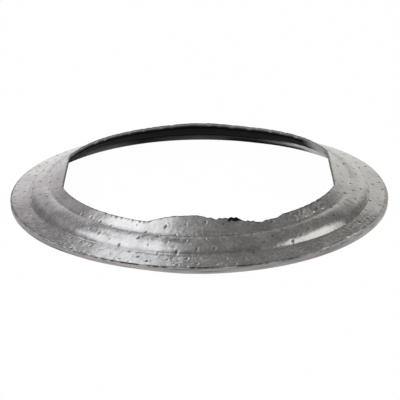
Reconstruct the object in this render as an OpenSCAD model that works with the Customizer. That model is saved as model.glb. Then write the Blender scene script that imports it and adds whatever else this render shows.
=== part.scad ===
// Conical exhaust ring gasket, stamped in one piece from graphite-faced sheet.
// The ring lies on its rim, as it comes to rest on a bench: the lip stands up, towards +Z.
// The origin is on the ring's axis, in the plane that the rim rests on. The front of the ring is -Y.

/* [Sheet] */
// Thickness of the sheet in the flange
sheet_t = 1.6; // [1.2:0.05:2.2]
// Thickness of the lip, where the sheet is drawn thinner
lip_t = 0.8; // [0.5:0.05:1.2]

/* [Rim] */
// Bevel along the lower corner of the rim's cut edge
rim_bevel = 0.5; // [0.2:0.05:0.7]
// Width of the flat under the rim that the ring rests on
foot_w = 0.7; // [0.3:0.05:1.2]

/* [Section] */
// Width of the flange in plan, from the rim to the outer crease
flange_w = 3.6; // [2:0.1:8]
// Slope of the flange, in degrees from level
flange_slope = 11; // [6:0.5:16]
// Width of the shoulder in plan, from the outer crease to the inner one
shoulder_w = 3.85; // [3:0.05:5]
// Rise of the shoulder from the outer crease to the inner one
shoulder_rise = 2; // [1.4:0.1:2.6]
// Radius of the rolled shoulder, on its upper side
shoulder_r = 4; // [3:0.1:6]
// Width of the lip in plan, from the inner crease to the hole's round edge
lip_w = 2.45; // [1:0.05:5]
// Slope of the lip, in degrees from level
lip_slope = 40; // [30:1:46]

/* [Hole] */
// Diameter of the hole's round front and back
hole_d = 55.2; // [40:0.1:90]
// Depth by which each straight side of the hole stands in from that round
side_flat = 1.6; // [0.2:0.1:3]
// Distance of the hole's middle from the ring's axis, to the right
hole_off_x = -0.1; // [-0.8:0.05:0.8]
// Distance of the hole's middle from the ring's axis, to the back
hole_off_y = -0.55; // [-0.8:0.05:0.8]

/* [Torn edge] */
// Height of the tongue of sheet left standing at the front of the hole
tongue_h = 1.5; // [0.4:0.05:2]
// Angle where the tongue starts, left of the front
tongue_from = -22; // [-40:1:-10]
// Angle where the tongue ends, right of the front
tongue_to = 19; // [5:1:19]
// Angle where the bite beside the tongue starts
bite_from = 20; // [20:1:24]
// Angle where the bite ends
bite_to = 34; // [28:1:45]
// Depth of the bite torn out of the lip beside the tongue
bite_h = 0.45; // [0.1:0.05:0.8]

/* [Hidden] */

// How far a cutting shape runs past what it cuts
over = 1;
round_fn = 180;

// Radii of the upper side, from the hole outwards
hole_r = hole_d / 2;
hole_w = hole_d - 2 * side_flat;
inner_crease_r = hole_r + lip_w;
outer_crease_r = inner_crease_r + shoulder_w;
rim_r = outer_crease_r + flange_w;
foot_out_r = rim_r - rim_bevel;
foot_in_r = foot_out_r - foot_w;

// Heights of the upper side, from the rim inwards
rim_h = sheet_t / cos(flange_slope) - (rim_r - foot_in_r) * tan(flange_slope);
outer_crease_z = rim_h + flange_w * tan(flange_slope);
inner_crease_z = outer_crease_z + shoulder_rise;

// The turned lip runs in past the hole's edge, which is punched out of it
lip_end_r = min(hole_w / 2, hole_r - tongue_h) - norm([hole_off_x, hole_off_y]) - over;
lip_end_z = lip_height(lip_end_r);

// The shoulder is one arc over the chord between the two creases, bulging up and out
chord = [-shoulder_w, shoulder_rise];
arc_r = max(shoulder_r, norm(chord) / 2);
arc_drop = sqrt(arc_r * arc_r - norm(chord) * norm(chord) / 4);
arc_out = [chord[1], -chord[0]] / norm(chord);
arc_mid = [outer_crease_r, outer_crease_z] + chord / 2 - arc_drop * arc_out;
shoulder_t = (sheet_t + lip_t) / 2;

// The torn outlines: share of the angle from start to end, and share of the full height there.
// Each one starts and ends below zero, so that it crosses the hole's edge and doesn't just touch it.
tongue_shape = [
    [0, -0.2], [0.13, 0.35], [0.22, 0.67], [0.3, 0.85], [0.5, 1],
    [0.59, 0.82], [0.66, 0.58], [0.88, 0.56], [0.93, 0.2], [1, -0.2],
];
bite_shape = [[0, -0.3], [0.07, 0.75], [0.21, 1], [0.43, 0.7], [0.64, 0.8], [0.82, 0.5], [1, -0.3]];

// Height of the lip's upper side at radius r
function lip_height(r) = inner_crease_z + (inner_crease_r - r) * tan(lip_slope);

// Height of the flange's lower side at radius r
function flange_underside(r) = (foot_in_r - r) * tan(flange_slope);

// Point at radius r from the hole's middle, at angle a to the right of the front
function from_front(r, a) = [r * sin(a), -r * cos(a)];

// Everything below the upper side of the sheet, in radius and height. The flange and the lip run on into
// the shoulder's disc, so that each crease is where the two cross.
module below_upper_side() {
    polygon([
        [lip_end_r, 0],
        [rim_r, 0],
        [rim_r, rim_h],
        [outer_crease_r - over, outer_crease_z + over * tan(flange_slope)],
        [inner_crease_r + over, lip_height(inner_crease_r + over)],
        [lip_end_r, lip_end_z],
    ]);
    intersection() {
        translate(arc_mid) circle(r = arc_r, $fn = round_fn);
        translate([lip_end_r, 0]) square([rim_r - lip_end_r, lip_end_z]);
    }
}

// Everything below the lower side of the sheet: under the flange, the shoulder and the lip
module below_lower_side() {
    cut_r = lip_end_r - over;
    polygon([
        [cut_r, -over],
        [foot_in_r, -over],
        [foot_in_r, 0],
        [cut_r, flange_underside(cut_r)],
    ]);
    translate(arc_mid) circle(r = arc_r - shoulder_t, $fn = round_fn);
    lip_drop = lip_t / cos(lip_slope);
    lip_foot_r = inner_crease_r + (inner_crease_z - lip_drop) / tan(lip_slope);
    polygon([[cut_r, 0], [lip_foot_r, 0], [cut_r, lip_height(cut_r) - lip_drop]]);
}

// The bevel along the lower corner of the rim
module rim_bevel_cut() {
    polygon([
        [foot_out_r, 0],
        [rim_r, rim_bevel],
        [rim_r + over, rim_bevel],
        [rim_r + over, -over],
        [foot_out_r, -over],
    ]);
}

// Half section through the sheet, from the lip to the rim
module sheet_section() {
    difference() {
        below_upper_side();
        below_lower_side();
        rim_bevel_cut();
    }
}

// A torn stretch of edge between two angles, closed by an arc that runs clear of the hole's edge.
// A positive height stands into the hole, and a negative one is bitten out of the lip.
module torn_stretch(shape, from, to, height) {
    back_r = hole_r + sign(height) * over;
    edge = [for (p = shape) from_front(hole_r - height * p[1], from + (to - from) * p[0])];
    back = [for (p = shape) from_front(back_r, to - (to - from) * p[0])];
    polygon(concat(edge, back));
}

// The hole in plan: round at the front and back, straight at the sides, torn at the front
module hole_outline() {
    translate([hole_off_x, hole_off_y]) {
        difference() {
            intersection() {
                circle(r = hole_r, $fn = round_fn);
                square([hole_w, 2 * hole_d], center = true);
            }
            torn_stretch(tongue_shape, tongue_from, tongue_to, tongue_h);
        }
        torn_stretch(bite_shape, bite_from, bite_to, -bite_h);
    }
}

// The whole gasket: the sheet's section turned round the axis, with the hole punched straight down
module gasket_ring() {
    color([0.4, 0.39, 0.39])
    difference() {
        rotate_extrude($fn = round_fn) sheet_section();
        translate([0, 0, -over]) linear_extrude(height = lip_end_z + 2 * over) hole_outline();
    }
}

gasket_ring();
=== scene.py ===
import bpy
import numpy as np
from mathutils import Matrix, Vector


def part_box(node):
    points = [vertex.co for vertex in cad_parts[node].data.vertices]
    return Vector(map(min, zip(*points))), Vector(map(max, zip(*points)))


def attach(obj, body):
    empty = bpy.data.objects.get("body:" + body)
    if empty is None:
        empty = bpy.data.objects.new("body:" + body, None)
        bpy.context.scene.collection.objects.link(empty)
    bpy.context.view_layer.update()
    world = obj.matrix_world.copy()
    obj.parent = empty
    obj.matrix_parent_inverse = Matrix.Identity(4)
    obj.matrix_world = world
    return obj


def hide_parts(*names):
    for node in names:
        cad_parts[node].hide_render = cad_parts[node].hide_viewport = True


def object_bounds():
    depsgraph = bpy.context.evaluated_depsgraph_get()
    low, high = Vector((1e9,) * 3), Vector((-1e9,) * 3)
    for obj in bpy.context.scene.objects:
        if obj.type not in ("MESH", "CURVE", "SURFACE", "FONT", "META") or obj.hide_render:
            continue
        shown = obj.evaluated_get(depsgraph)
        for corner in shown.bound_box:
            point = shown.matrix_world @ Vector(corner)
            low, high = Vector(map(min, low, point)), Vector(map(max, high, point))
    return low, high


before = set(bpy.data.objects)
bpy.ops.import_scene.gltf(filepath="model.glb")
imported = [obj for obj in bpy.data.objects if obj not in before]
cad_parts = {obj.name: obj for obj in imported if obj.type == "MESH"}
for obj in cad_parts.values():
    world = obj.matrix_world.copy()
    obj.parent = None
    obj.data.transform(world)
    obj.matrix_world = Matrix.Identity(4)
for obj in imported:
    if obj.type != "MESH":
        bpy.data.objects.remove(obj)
cad_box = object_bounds()


# Gasket ring
# One ring stamped from graphite-faced exhaust sheet, which carries a close pattern of small tang marks.
# One press stroke formed its flange, rolled shoulder and lip, and the hole's front edge has torn.
MM = 0.001
RIM_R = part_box("gasket_ring")[1].x / MM

# The section of the sheet, in millimetres of radius and height. The softness is how far each crease is
# rounded, and the inner crease's own softness holds as far as CREASE_REACH from it. The inner crease lies
# 0.2 further in than the solid's, and the lip lies on the same line.
SHEET_T, LIP_T = 1.6, 0.8
RIM_BEVEL, FOOT_W = 0.5, 0.7
FLANGE_W, FLANGE_SLOPE = 3.6, np.radians(11)
SHOULDER_W, SHOULDER_RISE, SHOULDER_R = 4.05, 2.17, 4.2
LIP_W, LIP_SLOPE = 2.25, np.radians(40)
OUTER_SOFTNESS, INNER_SOFTNESS, CREASE_REACH = 0.13, 0.17, 1.5

FOOT_OUT_R = RIM_R - RIM_BEVEL
FOOT_IN_R = FOOT_OUT_R - FOOT_W
RIM_H = SHEET_T / np.cos(FLANGE_SLOPE) - (RIM_R - FOOT_IN_R) * np.tan(FLANGE_SLOPE)
OUTER_CREASE = np.array([RIM_R - FLANGE_W, RIM_H + FLANGE_W * np.tan(FLANGE_SLOPE)])
INNER_CREASE = OUTER_CREASE + [-SHOULDER_W, SHOULDER_RISE]

# The lip is worked out this far in, past the tip of the tongue, and then cut off at the hole's edge
LIP_END_R = 24.5

# The hole, in millimetres in plan, and the torn stretches of its front edge: share of the stretch,
# and share of the full height there
HOLE_R = INNER_CREASE[0] - LIP_W
SIDE_FLAT = 1.6
SIDE_BOW, SIDE_BOW_REACH = 0.35, 0.35
HOLE_OFF = np.array([-0.1, -0.55])
TONGUE_H, TONGUE_FROM, TONGUE_TO = 1.5, -22.0, 19.0
TONGUE_SHAPE = np.array([
    [0, -0.2], [0.13, 0.35], [0.22, 0.67], [0.3, 0.85], [0.5, 1],
    [0.59, 0.82], [0.66, 0.58], [0.88, 0.56], [0.93, 0.2], [1, -0.2],
])
BITE_H, BITE_FROM, BITE_TO = 0.45, 20.0, 34.0
BITE_SHAPE = np.array([
    [0, -0.3], [0.07, 0.75], [0.21, 1], [0.43, 0.7], [0.64, 0.8], [0.82, 0.5], [1, -0.3],
])

# The tang marks, in millimetres: a square pattern, turned on the sheet. The burr beside each mark stands
# at a share of the mark's size from its middle, and is lower on its far side.
TANG_PITCH, TANG_SHIFT = 2.46, 0.35
TANG_TURN = np.radians(47)
TANG_LONG, TANG_SHORT = 0.30, 0.23
TANG_DEPTH, TANG_BURR = 0.07, 0.03
BURR_AT, BURR_WIDTH, BURR_FAR_SIDE = 1.6, 0.42, 0.2

# How finely the surface is worked out: steps round the ring, and rows along each side of the section
STEPS_ROUND = 1080
ROWS_FORMED, ROWS_LIP, ROWS_CUT, ROWS_UNDER, ROWS_UNDER_LIP = 46, 18, 3, 12, 5


def even_curve(points, spacing=0.04):
    """A line through points, resampled at equal steps of its own length.
    Returns the length at each step, and the points there."""
    length = np.concatenate([[0], np.cumsum(np.hypot(*np.diff(points, axis=0).T))])
    at = np.linspace(0, length[-1], int(length[-1] / spacing) + 1)
    return at, np.stack([np.interp(at, length, points[:, k]) for k in (0, 1)], 1)


def softened(points, spacing, width):
    """A line averaged with a bell-shaped weight, so that its creases turn with a small radius.
    Its two ends are carried on straight first, so they stay in place."""
    n = int(4 * width / spacing)
    weight = np.exp(-0.5 * (np.arange(-n, n + 1) * spacing / width) ** 2)
    steps = np.arange(n, 0, -1)[:, None]
    before = points[0] - steps * (points[1] - points[0])
    after = points[-1] + steps[::-1] * (points[-1] - points[-2])
    padded = np.vstack([before, points, after])
    return np.stack([np.convolve(padded[:, k], weight / weight.sum(), "valid") for k in (0, 1)], 1)


def shoulder_arc(inset, start, end, count=60):
    """Points on the shoulder's arc, moved in by inset, between the angles of two points seen from its
    middle. The arc stands over the chord between the creases, bulging up and out."""
    chord = INNER_CREASE - OUTER_CREASE
    half = np.hypot(*chord) / 2
    outward = np.array([chord[1], -chord[0]]) / (2 * half)
    middle = OUTER_CREASE + chord / 2 - np.sqrt(SHOULDER_R ** 2 - half ** 2) * outward
    a = [np.arctan2(*(p - middle)[::-1]) for p in (start, end)]
    t = np.linspace(a[0], a[1], count)
    return middle + (SHOULDER_R - inset) * np.stack([np.cos(t), np.sin(t)], 1)


def side_of_sheet(corner, slope_end, inset, lip_drop):
    """One side of the sheet from the rim inwards: straight flange, arc of the shoulder, straight lip.
    The arc is kept where it stands above both straight lines."""
    lip_rise = np.tan(LIP_SLOPE)
    lip_foot = INNER_CREASE - [0, lip_drop]
    lip_end = np.array([LIP_END_R, lip_foot[1] + (lip_foot[0] - LIP_END_R) * lip_rise])
    arc = shoulder_arc(inset, slope_end, INNER_CREASE)
    flange_z = corner[1] + (corner[0] - arc[:, 0]) * np.tan(FLANGE_SLOPE)
    lip_z = lip_foot[1] + (lip_foot[0] - arc[:, 0]) * lip_rise
    arc = arc[(arc[:, 1] >= flange_z - 1e-9) & (arc[:, 1] >= lip_z - 1e-9)]
    line = np.vstack([corner, arc, lip_end])
    at, even = even_curve(line)
    near_inner = np.exp(-((even[:, 0] - INNER_CREASE[0]) / CREASE_REACH) ** 4)[:, None]
    sharp, soft = [softened(even, at[1] - at[0], width) for width in (OUTER_SOFTNESS, INNER_SOFTNESS)]
    return even_curve(sharp + near_inner * (soft - sharp))


upper_s, upper_line = side_of_sheet(np.array([RIM_R, RIM_H]), OUTER_CREASE, 0.0, 0.0)
under_s, under_line = side_of_sheet(
    np.array([FOOT_IN_R, 0.0]),
    OUTER_CREASE - [0, SHEET_T],
    (SHEET_T + LIP_T) / 2,
    LIP_T / np.cos(LIP_SLOPE),
)


def ripple(angle, first, last, seed):
    """A wave round the ring, about 1 high, made of whole numbers of swings from first to last,
    each of random phase and weight."""
    draw = np.random.default_rng(seed)
    swings = np.arange(first, last + 1)
    phase = draw.uniform(0, 2 * np.pi, len(swings))
    weight = draw.normal(size=len(swings))
    waves = np.cos(np.outer(angle, swings) + phase) @ weight
    return waves / np.sqrt(len(swings) / 2)


def torn(angle_deg, shape, start, end):
    """Height of a torn stretch, as a share of its full height, by straight lines between its points.
    It is 0 where they run below 0, and past both ends."""
    at_points = start + (end - start) * shape[:, 0]
    return np.maximum(np.interp(angle_deg, at_points, shape[:, 1], left=0, right=0), 0)


def hole_radius(angle):
    """Distance of the hole's edge from the ring's axis, at an angle to the right of the front.
    The nearer of an off-centre circle and two slightly bowed sides, less the tongue and plus the bite."""
    way = np.stack([np.sin(angle), -np.cos(angle)], 1)
    along = way @ HOLE_OFF
    circle = along + np.sqrt(HOLE_R ** 2 - HOLE_OFF @ HOLE_OFF + along ** 2)
    side = HOLE_R - SIDE_FLAT + np.sign(way[:, 0]) * HOLE_OFF[0]
    side = side + SIDE_BOW * np.clip(way[:, 1] / SIDE_BOW_REACH, -1, 1) ** 2
    straight = side / np.maximum(np.abs(way[:, 0]), 1e-6)
    deg = np.degrees(angle)
    tongue = TONGUE_H * torn(deg, TONGUE_SHAPE, TONGUE_FROM, TONGUE_TO)
    bite = BITE_H * torn(deg, BITE_SHAPE, BITE_FROM, BITE_TO)
    return np.minimum(circle, straight) - tongue + bite


def tang_marks(x, y):
    """How deep a tang mark is at a place in plan, from 0 to 1, how high its burr is, and how far the place
    is from the mark's middle, as a share of its size.
    Each place is measured from the nearest point of the square pattern, along the pattern's own axes.
    Each mark has its own strength and a small shift, drawn from a table by its row and column."""
    c, s = np.cos(TANG_TURN), np.sin(TANG_TURN)
    u, v = (c * x + s * y) / TANG_PITCH, (c * y - s * x) / TANG_PITCH
    i, j = np.rint(u).astype(int), np.rint(v).astype(int)
    size = 64
    table = np.random.default_rng(5).uniform(size=(size, size, 3))
    own = table[i % size, j % size]
    du = (u - i) * TANG_PITCH - TANG_SHIFT * (own[..., 0] - 0.5)
    dv = (v - j) * TANG_PITCH - TANG_SHIFT * (own[..., 1] - 0.5)
    reach = np.hypot(du / TANG_LONG, dv / TANG_SHORT)
    strength = 0.35 + 0.65 * own[..., 2]
    pit = strength * np.exp(-reach ** 2.5)
    burr = strength * np.exp(-((reach - BURR_AT) / BURR_WIDTH) ** 2) * np.where(du > 0, 1.0, BURR_FAR_SIDE)
    return pit, burr, reach + 0.8 * (1 - strength)


def swell(x, y, wavelength, seed, count=24):
    """A smooth random height over the plan, about 1 high, from plane waves of about one length."""
    draw = np.random.default_rng(seed)
    way = draw.uniform(0, 2 * np.pi, count)
    k = 2 * np.pi / (wavelength * draw.uniform(0.7, 1.4, count))
    phase = draw.uniform(0, 2 * np.pi, count)
    total = np.zeros_like(x)
    for kx, ky, p in zip(k * np.cos(way), k * np.sin(way), phase):
        total += np.cos(kx * x + ky * y + p)
    return total / np.sqrt(count / 2)


# Angles run from the back, round by the left, to the front at 0, and on by the right
angle = np.linspace(-np.pi, np.pi, STEPS_ROUND, endpoint=False)
degrees = np.degrees(angle)


def stretch(*points):
    """A value round the ring, by straight lines between points of angle in degrees and value there.
    It holds the first value before the first point, and the last one after the last."""
    at, value = np.transpose(points)
    return np.interp(degrees, at, value)


# Ragged edge of the hole: fine all round, coarser along the broken stretch to the right of the front,
# and worn and nicked at the back
EDGE_FINE, EDGE_BROKEN, EDGE_NICKED = 0.014, 0.05, 0.09
broken = stretch((0, 0), (3.4, 1), (27.2, 1), (34, 0))
worn = np.interp(np.abs(degrees), [128, 140, 155, 166, 176], [0, 0.3, 0.45, 0.3, 0])
nicked = np.interp(np.abs(degrees), [110, 124], [0, 1])
edge_r = hole_radius(angle) + worn
edge_r += EDGE_FINE * ripple(angle, 60, 220, 1) + EDGE_BROKEN * broken * ripple(angle, 60, 180, 2)
edge_r += EDGE_NICKED * nicked * np.clip(ripple(angle, 15, 120, 3), 0, 2)

# Upper side, from the rim inwards: rows to the inner crease are fixed, rows of the lip end at the hole.
# It is dented a little, at three lengths, each with its height, and the marks fade out at both edges.
DENTS = ((7.0, 0.013, 3), (2.0, 0.004, 4), (0.9, 0.0022, 5))
RIM_FADE, HOLE_FADE = 0.25, 0.3
crease_at = np.interp(-INNER_CREASE[0], -upper_line[:, 0], upper_s)
edge_at = np.interp(-edge_r, -upper_line[:, 0], upper_s)
formed = np.linspace(0, crease_at, ROWS_FORMED)
lip_share = np.linspace(0, 1, ROWS_LIP + 1)[1:]
upper_at = np.vstack([
    np.repeat(formed[:, None], STEPS_ROUND, 1),
    crease_at + lip_share[:, None] * (edge_at - crease_at),
])
upper_r = np.interp(upper_at, upper_s, upper_line[:, 0])
upper_z = np.interp(upper_at, upper_s, upper_line[:, 1])
slope_r = np.interp(upper_at, upper_s, np.gradient(upper_line[:, 0], upper_s))
slope_z = np.interp(upper_at, upper_s, np.gradient(upper_line[:, 1], upper_s))
plan_x, plan_y = upper_r * np.sin(angle), -upper_r * np.cos(angle)
pit, pit_burr, pit_reach = tang_marks(plan_x, plan_y)
from_edge = edge_at - upper_at
fade = np.clip(upper_at / RIM_FADE, 0, 1) * np.clip(from_edge / HOLE_FADE, 0, 1)
dent = sum(height * swell(plan_x, plan_y, length, seed) for length, height, seed in DENTS)
lift = fade * (TANG_BURR * pit_burr - TANG_DEPTH * pit + dent)
upper_r = upper_r + lift * slope_z
upper_z = upper_z - lift * slope_r

# Cut edge of the hole, from the upper side down to the lower one, roughly broken
CUT_ROUGH = 0.03
under_edge_at = np.interp(-edge_r, -under_line[:, 0], under_s)
under_edge_z = np.interp(under_edge_at, under_s, under_line[:, 1])
down = np.linspace(0, 1, ROWS_CUT + 2)[1:-1, None]
cut_r = edge_r + CUT_ROUGH * np.stack([ripple(angle, 80, 300, 20 + k) for k in range(ROWS_CUT)])
cut_z = upper_z[-1] + down * (under_edge_z - upper_z[-1])

# Lower side, from the hole outwards to the flat under the rim
under_crease_at = np.interp(-INNER_CREASE[0], -under_line[:, 0], under_s)
under_lip_share = np.linspace(1, 0, ROWS_UNDER_LIP + 1)[:-1, None]
under_at = np.vstack([
    under_crease_at + under_lip_share * (under_edge_at - under_crease_at),
    np.repeat(np.linspace(under_crease_at, 0, ROWS_UNDER)[:, None], STEPS_ROUND, 1),
])
under_r = np.interp(under_at, under_s, under_line[:, 0])
under_z = np.interp(under_at, under_s, under_line[:, 1])

# Rim's cut edge, upwards from the flat: a bevel that is wide at the left front and narrow at the front,
# then four layers, then the seam under the upper facing, which is open at the front
seam_broken = stretch((-30, 0.35), (10, 0.12))
seam = np.clip(0.65 + 0.3 * ripple(angle, 12, 60, 6) + seam_broken * ripple(angle, 90, 240, 16), 0.1, 1.2)
seam = seam * stretch((-75, 0.2), (-60, 0.5), (-40, 0.5), (-22, 1), (26, 1), (40, 0.65), (66, 0.65),
                      (80, 0.2))
bevel = stretch((-50, RIM_BEVEL), (-40, 0.95), (-18, 0.9), (-12, 0.65), (-4, 0.3), (2, 0.22), (20, 0.34),
                (44, RIM_BEVEL))
rim_share = np.array([0.0, 0.14, 0.36, 0.5, 0.64, 0.76, 0.85, 0.93])
rim_rough = np.array([0.0, 0.02, 0.02, 0.025, 0.02, 0.025, 0.02, 0.02])
rim_rows = len(rim_share)
layer = np.stack([ripple(angle, 3, 40, 30 + k) for k in range(rim_rows)])
rim_inset = np.zeros((rim_rows, STEPS_ROUND))
rim_inset[:2] = np.outer([1, 0.48], bevel)
rim_inset[2:6] = np.array([0.02, 0.05, 0.02, 0.05])[:, None]
rim_inset[6:] = np.outer([0.17, 0.12], seam)
rim_r = RIM_R - (rim_inset + rim_rough[:, None] * np.abs(layer))
rim_z = np.repeat(rim_share[:, None] * RIM_H, STEPS_ROUND, 1)

# The ring is bent up a little at the back on the right. It is held within the solid's box, which takes less
# than 0.1 off the top of the lip where the bend starts.
BENT_UP = 0.48
bent = BENT_UP * stretch((88, 0), (98.5, 0.5), (109, 0.95), (123, 1), (140.5, 0.6), (158, 0))
all_r = np.minimum(np.vstack([upper_r, cut_r, under_r, rim_r]), RIM_R)
all_z = np.clip(np.vstack([upper_z, cut_z, under_z, rim_z]) + bent, 0, cad_box[1][2] / MM)
rows = len(all_r)
place = MM * np.stack([all_r * np.sin(angle), -all_r * np.cos(angle), all_z], -1)


def closed_grid(rows, columns):
    """Four-cornered faces of a grid that closes on itself both ways, as vertex numbers."""
    i, j = np.meshgrid(np.arange(rows), np.arange(columns), indexing="ij")
    i2, j2 = (i + 1) % rows, (j + 1) % columns
    corners = [i * columns + j, i * columns + j2, i2 * columns + j2, i2 * columns + j]
    return np.stack(corners, -1).reshape(-1, 4)


def mesh_of(name, vertices, faces):
    """A smooth-shaded mesh object at the origin, from an array of places and one of four-cornered faces."""
    mesh = bpy.data.meshes.new(name)
    mesh.vertices.add(len(vertices))
    mesh.vertices.foreach_set("co", vertices.astype(np.float32).ravel())
    mesh.loops.add(faces.size)
    mesh.loops.foreach_set("vertex_index", faces.astype(np.int32).ravel())
    mesh.polygons.add(len(faces))
    mesh.polygons.foreach_set("loop_start", np.arange(0, faces.size, 4, dtype=np.int32))
    mesh.update(calc_edges=True)
    mesh.validate()
    mesh.shade_smooth()
    piece = bpy.data.objects.new(name, mesh)
    bpy.context.scene.collection.objects.link(piece)
    return piece


ring = mesh_of("gasket_ring_formed", place.reshape(-1, 3), closed_grid(rows, STEPS_ROUND))

# Dark places near the hole's edge: burrs all along it, deeper to the left of the front, and a charred fleck
# on the tear
BURR_RIM, BURR_RIM_DARK = 0.2, 0.65
burr_here = np.clip(0.3 + 0.5 * ripple(angle, 9, 40, 7) + 0.6 * ripple(angle, 60, 260, 8), 0, 1)
burr_deep = 0.35 + 0.35 * stretch((-46, 0), (-40, 1), (-22, 1), (-16, 0))
burr = burr_here * np.clip(1 - from_edge / burr_deep, 0, 1)
burr = np.maximum(burr, BURR_RIM_DARK * np.clip(1 - from_edge / BURR_RIM, 0, 1))
FLECK_DEEP, FLECK_SOFTNESS = 0.95, 0.12
fleck_deep = FLECK_DEEP * stretch((10.4, 0), (10.99, 0.8), (12.465, 1), (14.53, 0.85), (15.71, 0.5),
                                  (16.3, 0))
fleck_deep = fleck_deep * (1 + 0.15 * ripple(angle, 100, 260, 9))
fleck = np.clip((fleck_deep - from_edge) / FLECK_SOFTNESS, 0, 1) * (fleck_deep > 0)

# The upper facing is worn back from the rim by this far. It ends in a dark line, and the sheet's cut edge
# shows outside it.
WORN_SIDES = 110
facing_at = stretch((-120, 0.1), (-100, 0.12), (-75, 0.25), (-60, 0.35), (-45, 0.35), (-36, 0.2), (-22, 0),
                    (25, 0), (32, 0.2), (40, 0.55), (50, 0.85), (60, 0.6), (75, 0.6), (85, 0.55), (95, 0.2),
                    (110, 0.1))
facing_dark = stretch((-118, 0), (-110, 0.3), (-100, 0.6), (-85, 0.75), (-75, 0.7), (-60, 0.8), (-45, 0.75),
                      (-36, 0.55), (-22, 0.5), (25, 0.5), (35, 0.5), (50, 0.7), (60, 0.5), (85, 0.35),
                      (95, 0.2), (118, 0))
facing_dark = facing_dark * np.clip(0.85 + 0.35 * ripple(angle, 20, 120, 17), 0.3, 1.3)
facing_line = facing_dark * np.clip(1.3 - np.abs(upper_at - facing_at) / 0.17, 0, 1)
worn_edge = np.clip((facing_at - 0.06 - upper_at) / 0.1, 0, 1) * (np.abs(degrees) < WORN_SIDES)

# Whitened places at the rim, as painted glints: two bright chips outside that line on the right, and small
# sparks left of the front
chipped = stretch((36.6, 0), (37.57, 1), (39.122, 1), (39.898, 0),
                  (46.882, 0), (47.852, 1), (52.12, 1), (56, 0))
chipped = chipped * np.clip(0.8 + 0.5 * ripple(angle, 40, 160, 12), 0, 1)
chip_at = facing_at - 0.15
chip = chipped * np.clip(1.6 - np.abs(upper_at - chip_at) / 0.17, 0, 1)
sparkling = stretch((-52, 0), (-43.6, 1), (-4.4, 1), (4, 0))
sparkling = sparkling * np.clip(1.6 * ripple(angle, 60, 300, 13) - 1.2, 0, 1)
spark_at = 0.35 + 0.2 * ripple(angle, 20, 60, 14)
spark = sparkling * np.clip(1.3 - np.abs(upper_at - spark_at) / 0.16, 0, 1)

# A lit strip is painted on the lower side round the back, most on the right, between two shares of the way
# from the rim
# to the crease: painted light, which takes away the lower side's black and, where strongest, is whitened.
# Further to the right, the whole lower side is painted lighter.
under_share = under_at / under_crease_at
painted_lit_strip = stretch((-180, 0.25), (-169, 0.17), (-158, 0.05), (-146, 0.28), (-135, 0.25), (-125, 0), (112, 0),
                 (131, 1), (141, 0.92), (149, 0.55), (157, 0.2), (168, 0.17), (180, 0.25))
strip_top = stretch((-180, 0.64), (-165, 0.6), (-125, 0.6), (135, 0.72), (141, 0.68), (150, 0.62),
                    (158, 0.58), (168, 0.6), (180, 0.64))
strip_foot = stretch((128, 0.3), (140, 0.47), (165, 0.47), (175, 0.3))
painted_lit_strip = painted_lit_strip * np.clip((strip_top - under_share) / 0.06, 0, 1)
painted_lit_strip = painted_lit_strip * np.clip((under_share - strip_foot) / 0.08, 0, 1)
painted_lit_strip_white = 0.6 * np.clip((painted_lit_strip - 0.55) / 0.4, 0, 1)
painted_light_right = stretch((104, 0), (111.2, 1), (119.6, 1), (128, 0))
painted_lit_strip = np.maximum(painted_lit_strip, 0.55 * painted_light_right)

# Darker places: the flange on the left and a band on the shoulder below the inner crease, painted shade along
# the outer crease at the left front, and soiled blotches on the flange and on the lip on the right
flange_darker = 0.5 * stretch((-88, 0), (-75, 1), (-46.4, 1), (-36, 0)) * np.clip((3.9 - upper_at) / 0.6, 0, 1)
right_soil = 0.6 * stretch((47, 0), (54.5, 1), (64.5, 1), (72, 0)) * np.clip((3.6 - upper_at) / 0.4, 0, 1)
right_soil = right_soil * np.clip(0.8 + 0.45 * swell(plan_x, plan_y, 0.9, 19), 0, 1.5)
groove_darker = 0.85 * stretch((-44, 0), (-38.24, 0.5), (-33.92, 0.9), (-29.12, 1), (-23.84, 0.75), (-20, 0.85),
                             (-16.16, 1), (-11.84, 0.5), (4, 0))
groove_across = np.array([[-2.4, 0], [-1.7, 0.5], [-1.3, 1], [-1.0, 1], [-0.7, 0.35], [-0.4, 0]])
groove_darker = groove_darker * np.interp(upper_at - crease_at, groove_across[:, 0], groove_across[:, 1])
crease_painted_shade = 0.5 * stretch((-46, 0), (-36, 1), (-18, 1), (-6, 0)) * np.exp(-((upper_at - 3.65) / 0.42) ** 2)
lip_soil = 0.7 * stretch((32, 0), (37.6, 1), (54.4, 1), (60, 0))
lip_soil = lip_soil * np.clip(0.4 + 0.55 * swell(plan_x, plan_y, 1.0, 15), 0, 1)
lip_soil = lip_soil * np.clip((upper_at - crease_at - 0.4) / 0.6, 0, 1)
soil_and_shade = np.maximum.reduce([flange_darker, groove_darker, crease_painted_shade, right_soil, lip_soil])
soil_and_shade = np.clip(soil_and_shade * (1 + 0.2 * swell(plan_x, plan_y, 1.6, 6)), 0, 1)

# Lighter places on the lip: burnished on both sides, where it rubbed on the pipe, and a weaker painted
# highlight at the left front
burnish_and_highlight = stretch((-86, 0), (-76, 1), (-56, 1), (-46, 0), (-36, 0), (-30, 0.4), (-22, 0.4), (-17, 0),
                    (46, 0), (56, 1), (76, 1), (86, 0))
burnish_and_highlight = burnish_and_highlight * np.clip((upper_at - crease_at - 0.2) / 0.4, 0, 1)

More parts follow.
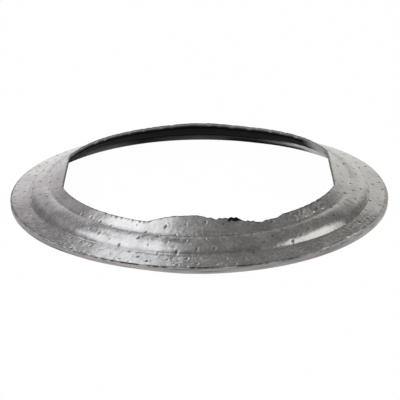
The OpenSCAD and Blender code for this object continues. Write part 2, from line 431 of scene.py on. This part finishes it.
# What the material needs to know of each place, by the rows of each side. The rim's face is between the flat
# and the seam, and three of its rows are dark lines between the layers. FAR is past any tang mark.
FAR = 9
upper_end = len(upper_r)
cut_end = upper_end + len(cut_r)
under_end = cut_end + len(under_r)
UPPER, CUT, UNDER = slice(0, upper_end), slice(upper_end, cut_end), slice(cut_end, under_end)
RIM, RIM_FACE, RIM_SEAM = slice(under_end, rows), slice(under_end + 1, rows - 2), slice(rows - 2, rows)
LOW_LINE, MIDDLE_LINE, HIGH_LINE = under_end + 2, under_end + 3, under_end + 4
ZONES = ("dark_mark_and_shade", "whitened_here", "cut_edge", "lower_side_dark_and_shade", "tang_reach", "soiled_and_shaded", "burnish_and_highlight")
zone = {label: np.zeros((rows, STEPS_ROUND), np.float32) for label in ZONES}
# The hole's cut edge is painted darker down towards the lower side: painted shade under the lip
cut_shade = np.array([[0.2], [0.85], [1.0]]) * (1 - 0.85 * painted_light_right)
cut_shade = cut_shade * np.clip(1.1 - 0.4 * ripple(angle, 8, 90, 18), 0.4, 1)
line_dark = 0.4 * stretch((-80, 0), (-59.6, 1), (-29, 1), (-12, 0)) * np.clip(0.8 + 0.4 * layer[3], 0.2, 1)
zone["dark_mark_and_shade"][UPPER] = np.maximum.reduce([burr, fleck, facing_line])
zone["dark_mark_and_shade"][CUT] = np.maximum(fleck[-1], cut_shade)
# The seam's rows are painted as dark as its groove is deep: painted shade in the groove
zone["dark_mark_and_shade"][RIM_SEAM] = np.clip(seam, 0, 1)
zone["dark_mark_and_shade"][[LOW_LINE, HIGH_LINE]] = np.clip(0.2 + 0.15 * layer[[2, 4]], 0, 0.5)
zone["dark_mark_and_shade"][RIM_FACE] += stretch((-16, 0), (-8, 0.12), (42, 0.16), (52, 0))
zone["dark_mark_and_shade"][MIDDLE_LINE] += line_dark
zone["whitened_here"][UPPER] = np.maximum(chip, spark)
zone["whitened_here"][RIM_FACE] = stretch((-38, 0), (-28, 0.25), (-18, 0.3), (-13, 0), (48, 0), (58, 0.15))
zone["whitened_here"][UNDER] = painted_lit_strip_white
zone["cut_edge"][UPPER] = worn_edge
zone["cut_edge"][CUT] = 1
zone["cut_edge"][RIM] = 1
# The lower side is painted nearly black: its own dark graphite and painted shade
zone["lower_side_dark_and_shade"][UNDER] = 1 - painted_lit_strip
zone["lower_side_dark_and_shade"][cut_end - 1] = 1 - painted_light_right
zone["tang_reach"][:] = FAR
zone["tang_reach"][UPPER] = pit_reach
zone["soiled_and_shaded"][UPPER] = soil_and_shade
zone["burnish_and_highlight"][UPPER] = burnish_and_highlight
for label, values in zone.items():
    ring.data.attributes.new(label, "FLOAT", "POINT").data.foreach_set("value", values.ravel())


def linear(hex_colour):
    """An sRGB hex colour as linear red, green, blue and alpha."""
    s = np.array([int(hex_colour[k:k + 2], 16) / 255 for k in (1, 3, 5)])
    return (*np.where(s <= 0.04045, s / 12.92, ((s + 0.055) / 1.055) ** 2.4), 1.0)


def add(tree, kind, inputs=None, **settings):
    """Adds one node, sets its properties, and fills its inputs with values or links."""
    made = tree.nodes.new(kind)
    for key, value in settings.items():
        setattr(made, key, value)
    for socket, value in (inputs or {}).items():
        if isinstance(value, bpy.types.NodeSocket):
            tree.links.new(value, made.inputs[socket])
        else:
            made.inputs[socket].default_value = value
    return made


# Pressed graphite facing: grey, nearly metallic, burnished by the press, so it mirrors broad lights.
# Its cut edge is dull and fibrous. The lower side, which no die has burnished, is painted nearly black and
# barely glossy:
# its own dark graphite, and painted shade where it would otherwise mirror the lit floor. Whitened places and
# the lower side aren't metallic. The sizes of mottle and grain and the relief are in millimetres.
MOTTLE, GRAIN, FINE, RELIEF = 3.0, 0.5, 0.22, 0.0026
FACING_DARK, FACING_LIGHT = "#909191", "#b0b1b1"
BURNISH_AND_HIGHLIGHT, SOIL_AND_SHADE, CUT_EDGE = "#cfcfcf", "#6d6a69", "#b7b4b3"
WHITENED, LOWER_DARK_AND_SHADE, CHARRED_AND_SHADE = "#f4f2f0", "#080808", "#1c1b1b"
METALLIC, BURNISH_AND_HIGHLIGHT_SHARE = 0.95, 0.42
SMOOTH, LESS_SMOOTH, DULL = 0.2, 0.3, 0.6
GLOSS, LOWER_GLOSS = 0.5, 0.013
graphite = bpy.data.materials.new("graphite_facing_pressed")
graphite.use_nodes = True
t = graphite.node_tree
shader = t.nodes["Principled BSDF"]
where = add(t, "ShaderNodeTexCoord").outputs["Object"]
dark_and_shade, whitened, cut, lower_dark_and_shade, reach, soiled_and_shaded, lip_burnish_and_highlight = [
    add(t, "ShaderNodeAttribute", attribute_name=label).outputs["Fac"] for label in ZONES
]
# Near the middle of each tang mark the colour goes dark: painted shade in the pits
pit_shade = {"Value": reach, "From Min": 0.4, "From Max": 1.4, "To Min": 0.7, "To Max": 0.0}
pit_shade = add(t, "ShaderNodeMapRange", pit_shade).outputs["Result"]
dark_and_shade = add(t, "ShaderNodeMath", {0: dark_and_shade, 1: pit_shade}, operation="MAXIMUM").outputs[0]
mottle, grain, fine = [
    add(t, "ShaderNodeTexNoise", {"Vector": where, "Scale": 1 / (size * MM), "Detail": 3.0}).outputs["Fac"]
    for size in (MOTTLE, GRAIN, FINE)
]
cloud = add(t, "ShaderNodeMath", {0: mottle, 1: grain}, operation="MULTIPLY").outputs[0]
cloud = add(t, "ShaderNodeMapRange", {"Value": cloud, "From Min": 0.12, "From Max": 0.4}).outputs["Result"]
burnish_and_highlight_share = add(t, "ShaderNodeMath", {0: lip_burnish_and_highlight, 1: BURNISH_AND_HIGHLIGHT_SHARE}, operation="MULTIPLY").outputs[0]
colour = linear(FACING_DARK)
for amount, over in (
    (cloud, FACING_LIGHT), (burnish_and_highlight_share, BURNISH_AND_HIGHLIGHT), (soiled_and_shaded, SOIL_AND_SHADE), (cut, CUT_EDGE),
    (whitened, WHITENED), (lower_dark_and_shade, LOWER_DARK_AND_SHADE), (dark_and_shade, CHARRED_AND_SHADE),
):
    mix = {"Factor": amount, 6: colour, 7: linear(over)}
    colour = add(t, "ShaderNodeMix", mix, data_type="RGBA").outputs[2]
t.links.new(colour, shader.inputs["Base Color"])
plain = add(t, "ShaderNodeMath", {0: lower_dark_and_shade, 1: whitened}, operation="MAXIMUM").outputs[0]
metal = add(t, "ShaderNodeMath", {0: METALLIC, 1: plain}, operation="SUBTRACT", use_clamp=True).outputs[0]
t.links.new(metal, shader.inputs["Metallic"])
gloss = add(t, "ShaderNodeMapRange", {"Value": lower_dark_and_shade, "To Min": GLOSS, "To Max": LOWER_GLOSS})
t.links.new(gloss.outputs["Result"], shader.inputs["Specular IOR Level"])
rough = {"Value": cloud, "To Min": SMOOTH, "To Max": LESS_SMOOTH}
rough = add(t, "ShaderNodeMapRange", rough).outputs["Result"]
dull = add(t, "ShaderNodeMath", {0: cut, 1: lower_dark_and_shade}, operation="MAXIMUM").outputs[0]
dull = add(t, "ShaderNodeMath", {0: dull, 1: dark_and_shade}, operation="MAXIMUM").outputs[0]
rough = add(t, "ShaderNodeMix", {"Factor": dull, 2: rough, 3: DULL}).outputs[0]
t.links.new(rough, shader.inputs["Roughness"])
relief = add(t, "ShaderNodeMath", {0: grain, 1: fine}, operation="ADD").outputs[0]
bump = add(t, "ShaderNodeBump", {"Height": relief, "Strength": 1.0, "Distance": RELIEF * MM})
t.links.new(bump.outputs["Normal"], shader.inputs["Normal"])
ring.data.materials.append(graphite)

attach(ring, "root")
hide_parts("gasket_ring")


# Floor
# A plain white studio floor, laid just under the ring. The eye and mirror-like surfaces see it white, and it
# keeps a faint shadow.
FLOOR_HALF, FLOOR_DROP = 6.0, 1e-5
SEEN_WHITE = 0.985
floor_mesh = bpy.data.meshes.new("floor")
corners = [(x * FLOOR_HALF, y * FLOOR_HALF, -FLOOR_DROP) for x, y in ((-1, -1), (1, -1), (1, 1), (-1, 1))]
floor_mesh.from_pydata(corners, [], [(0, 1, 2, 3)])
floor = bpy.data.objects.new("floor", floor_mesh)
bpy.context.scene.collection.objects.link(floor)
paper = bpy.data.materials.new("white_studio_paper")
paper.use_nodes = True
t = paper.node_tree
path = add(t, "ShaderNodeLightPath").outputs
seen = add(t, "ShaderNodeMath", {0: path["Is Camera Ray"], 1: path["Is Glossy Ray"]}, operation="MAXIMUM")
seen = add(t, "ShaderNodeMath", {0: seen.outputs[0], 1: path["Is Transmission Ray"]}, operation="MAXIMUM")
share = add(t, "ShaderNodeMath", {0: seen.outputs[0], 1: SEEN_WHITE}, operation="MULTIPLY")
plain = add(t, "ShaderNodeBsdfDiffuse", {"Color": linear("#f4f4f4")})
white = add(t, "ShaderNodeEmission", {"Color": (1, 1, 1, 1), "Strength": 1.0})
mixed = add(t, "ShaderNodeMixShader", {"Fac": share.outputs[0], 1: plain.outputs[0], 2: white.outputs[0]})
t.links.new(mixed.outputs[0], t.nodes["Material Output"].inputs["Surface"])
floor.data.materials.append(paper)


# Light
# A dim room, darkest low down, with a white backdrop low behind the ring that is brighter at its foot. Soft
# boxes hang overhead on the left: a round one in a wide dim halo, a small one beside it, and a long narrow
# one behind. One more stands low on the right.
ROOM_LOW, ROOM_TOP, ROOM_RIGHT = 0.25, 0.365, 0.35
ROOM_LEFT, ROOM_LEFT_BACK, LEFT_WALL = 0.45, 0.5, 0.1
BACKDROP_LEFT, BACKDROP_RIGHT = 1.15, 1.1
BACKDROP_FOOT_LEFT, BACKDROP_FOOT_RIGHT = 1.75, 1.35
BACKDROP_END_LEFT, BACKDROP_END_RIGHT, FOOT_END = 0.85, 1.12, 0.75
DROOP = 0.09
WARM, ROSY = "#fffaf4", "#fff7fa"
world = bpy.data.worlds.new("studio")
bpy.context.scene.world = world
world.use_nodes = True
t = world.node_tree
way = add(t, "ShaderNodeTexCoord").outputs["Generated"]
way = add(t, "ShaderNodeSeparateXYZ", {"Vector": way}).outputs
sideways = add(t, "ShaderNodeMath", {0: way["X"]}, operation="ABSOLUTE").outputs[0]

# Straight ramps: what each one goes by, where it starts and ends, and its value at the start and at the end
leftward, to_right, to_left, wall, drooped, backdrop, fall_off, rise, foot, foot_end, at_foot = [
    add(t, "ShaderNodeMapRange", {
        "Value": by, "From Min": start, "From Max": end, "To Min": first, "To Max": last,
    }).outputs["Result"]
    for by, start, end, first, last in (
        (way["X"], -0.28, -0.08, 1.0, 0.0),
        (way["X"], 0.2, 0.7, ROOM_TOP, ROOM_RIGHT),
        (way["Y"], 0.2, 0.6, ROOM_LEFT, ROOM_LEFT_BACK),
        (way["X"], -0.66, -0.48, LEFT_WALL, 0.0),
        (sideways, 0.2, 0.8, 0.0, DROOP),
        (way["X"], -0.15, 0.15, BACKDROP_LEFT, BACKDROP_RIGHT),
        (way["X"], -0.5, -0.25, BACKDROP_END_LEFT, 1.0),
        (way["X"], 0.2, 0.5, 1.0, BACKDROP_END_RIGHT),
        (way["X"], -0.05, 0.05, BACKDROP_FOOT_LEFT, BACKDROP_FOOT_RIGHT),
        (way["X"], -0.33, -0.17, FOOT_END, 1.0),
        (way["Z"], 0.15, 0.26, 1.0, 0.0),
    )
]

# The room: dark low down, lighter above and on the left, with a lighter wall at the far left
high = add(t, "ShaderNodeMath", {0: way["Y"], 1: 0.35, 2: way["Z"]}, operation="MULTIPLY_ADD").outputs[0]
high = add(t, "ShaderNodeMapRange", {"Value": high, "From Min": 0.55, "From Max": 0.72}).outputs["Result"]
upper = add(t, "ShaderNodeMix", {"Factor": leftward, 2: to_right, 3: to_left}).outputs[0]
room = add(t, "ShaderNodeMix", {"Factor": high, 2: ROOM_LOW, 3: upper}).outputs[0]
room = add(t, "ShaderNodeMath", {0: room, 1: wall}, operation="ADD").outputs[0]

# The backdrop's outline: it ends softly at both sides, and its top droops away from the middle
heading = add(t, "ShaderNodeCombineXYZ", {"X": way["X"], "Y": way["Y"]}).outputs[0]
heading = add(t, "ShaderNodeVectorMath", {0: heading}, operation="NORMALIZE").outputs[0]
backward = add(t, "ShaderNodeSeparateXYZ", {"Vector": heading}).outputs["Y"]
slanted = add(t, "ShaderNodeMath", {0: way["Z"], 1: 0.3, 2: backward}, operation="MULTIPLY_ADD").outputs[0]
behind = {"Value": slanted, "From Min": 0.77, "From Max": 0.97}
behind = add(t, "ShaderNodeMapRange", behind, interpolation_type="SMOOTHSTEP").outputs["Result"]
tilted = add(t, "ShaderNodeMath", {0: way["Z"], 1: drooped}, operation="ADD").outputs[0]
low = {"Value": tilted, "From Min": 0.45, "From Max": 0.54, "To Min": 1.0, "To Max": 0.0}
low = add(t, "ShaderNodeMapRange", low).outputs["Result"]
low_behind = add(t, "ShaderNodeMath", {0: behind, 1: low}, operation="MULTIPLY").outputs[0]

# The backdrop's brightness: more to the right, and most at its foot, in the middle and a way to the left
backdrop = add(t, "ShaderNodeMath", {0: backdrop, 1: rise}, operation="MULTIPLY").outputs[0]
foot = add(t, "ShaderNodeMath", {0: foot, 1: foot_end}, operation="MULTIPLY").outputs[0]
leftness = add(t, "ShaderNodeMath", {0: way["X"], 1: 0.0}, operation="MINIMUM").outputs[0]
central = add(t, "ShaderNodeMath", {0: leftness, 1: -0.2, 2: backward}, operation="MULTIPLY_ADD").outputs[0]
central = {"Value": central, "From Min": 0.95, "From Max": 0.985}
central = add(t, "ShaderNodeMapRange", central).outputs["Result"]
at_foot = add(t, "ShaderNodeMath", {0: at_foot, 1: central}, operation="MULTIPLY").outputs[0]
backdrop = add(t, "ShaderNodeMix", {"Factor": at_foot, 2: backdrop, 3: foot}).outputs[0]
backdrop = add(t, "ShaderNodeMath", {0: backdrop, 1: fall_off}, operation="MULTIPLY").outputs[0]
level = add(t, "ShaderNodeMix", {"Factor": low_behind, 2: room, 3: backdrop}).outputs[0]
tint = {"Factor": leftward, 6: linear(WARM), 7: linear(ROSY)}
tint = add(t, "ShaderNodeMix", tint, data_type="RGBA").outputs[2]
t.links.new(level, t.nodes["Background"].inputs["Strength"])
t.links.new(tint, t.nodes["Background"].inputs["Color"])


def soft_box(name, shape, place, facing, size, radiance, colour, turn=0.0):
    """A flat soft light of a given width and length at a place, facing a direction, turned about its own
    axis. Its power is its radiance times pi times its area."""
    lamp = bpy.data.lights.new(name, "AREA")
    lamp.shape = shape
    lamp.size, lamp.size_y = size
    area = size[0] * size[1] * (np.pi / 4 if shape == "ELLIPSE" else 1)
    lamp.energy = radiance * np.pi * area
    lamp.color = linear(colour)[:3]
    box = bpy.data.objects.new(name, lamp)
    aim = Vector(facing).to_track_quat("-Z", "Y").to_matrix().to_4x4()
    box.matrix_world = Matrix.Translation(place) @ aim @ Matrix.Rotation(turn, 4, "Z")
    box.visible_camera = False
    bpy.context.scene.collection.objects.link(box)


DAYLIGHT = "#fafbff"
DOWN, FROM_RIGHT = (0, 0, -1), (-0.85, 0.08, -0.53)
FAR_TURN = np.radians(-14)
soft_box("soft_box_near", "ELLIPSE", (-0.519, -0.235, 0.6), DOWN, (0.76, 0.76), 1.75, DAYLIGHT)
soft_box("soft_box_between", "ELLIPSE", (-0.175, 0.06, 0.6), DOWN, (0.17, 0.25), 1.5, DAYLIGHT)
soft_box("soft_box_halo", "ELLIPSE", (-0.53, -0.22, 0.61), DOWN, (1.05, 1.05), 0.22, DAYLIGHT)
soft_box("soft_box_far", "RECTANGLE", (-0.17, 0.42, 0.6), DOWN, (0.13, 0.72), 2.5, DAYLIGHT, FAR_TURN)
soft_box("soft_box_right", "RECTANGLE", (0.51, -0.066, 0.32), FROM_RIGHT, (0.45, 0.24), 2.05, WARM)


# Camera
# It looks down on the ring's front from 0.3 m away, turned a little about its own axis.
RAISED, TURNED = np.radians(21.43), np.radians(-0.42)
DISTANCE = 8 * RIM_R * MM
LENS, SENSOR = 134.9, 36.0
AIM_RIGHT, AIM_UP = 0.15 * MM, -0.52 * MM
eye = bpy.data.cameras.new("camera")
eye.lens, eye.sensor_width = LENS, SENSOR
camera = bpy.data.objects.new("camera", eye)
right = Vector((1, 0, 0))
back = Vector((0, -np.cos(RAISED), np.sin(RAISED)))
up = back.cross(right)
turn = Matrix((right, up, back)).transposed().to_4x4() @ Matrix.Rotation(TURNED, 4, "Z")
camera.matrix_world = Matrix.Translation(back * DISTANCE + right * AIM_RIGHT + up * AIM_UP) @ turn
bpy.context.scene.collection.objects.link(camera)
bpy.context.scene.camera = camera
bpy.context.scene.view_settings.view_transform = "Standard"
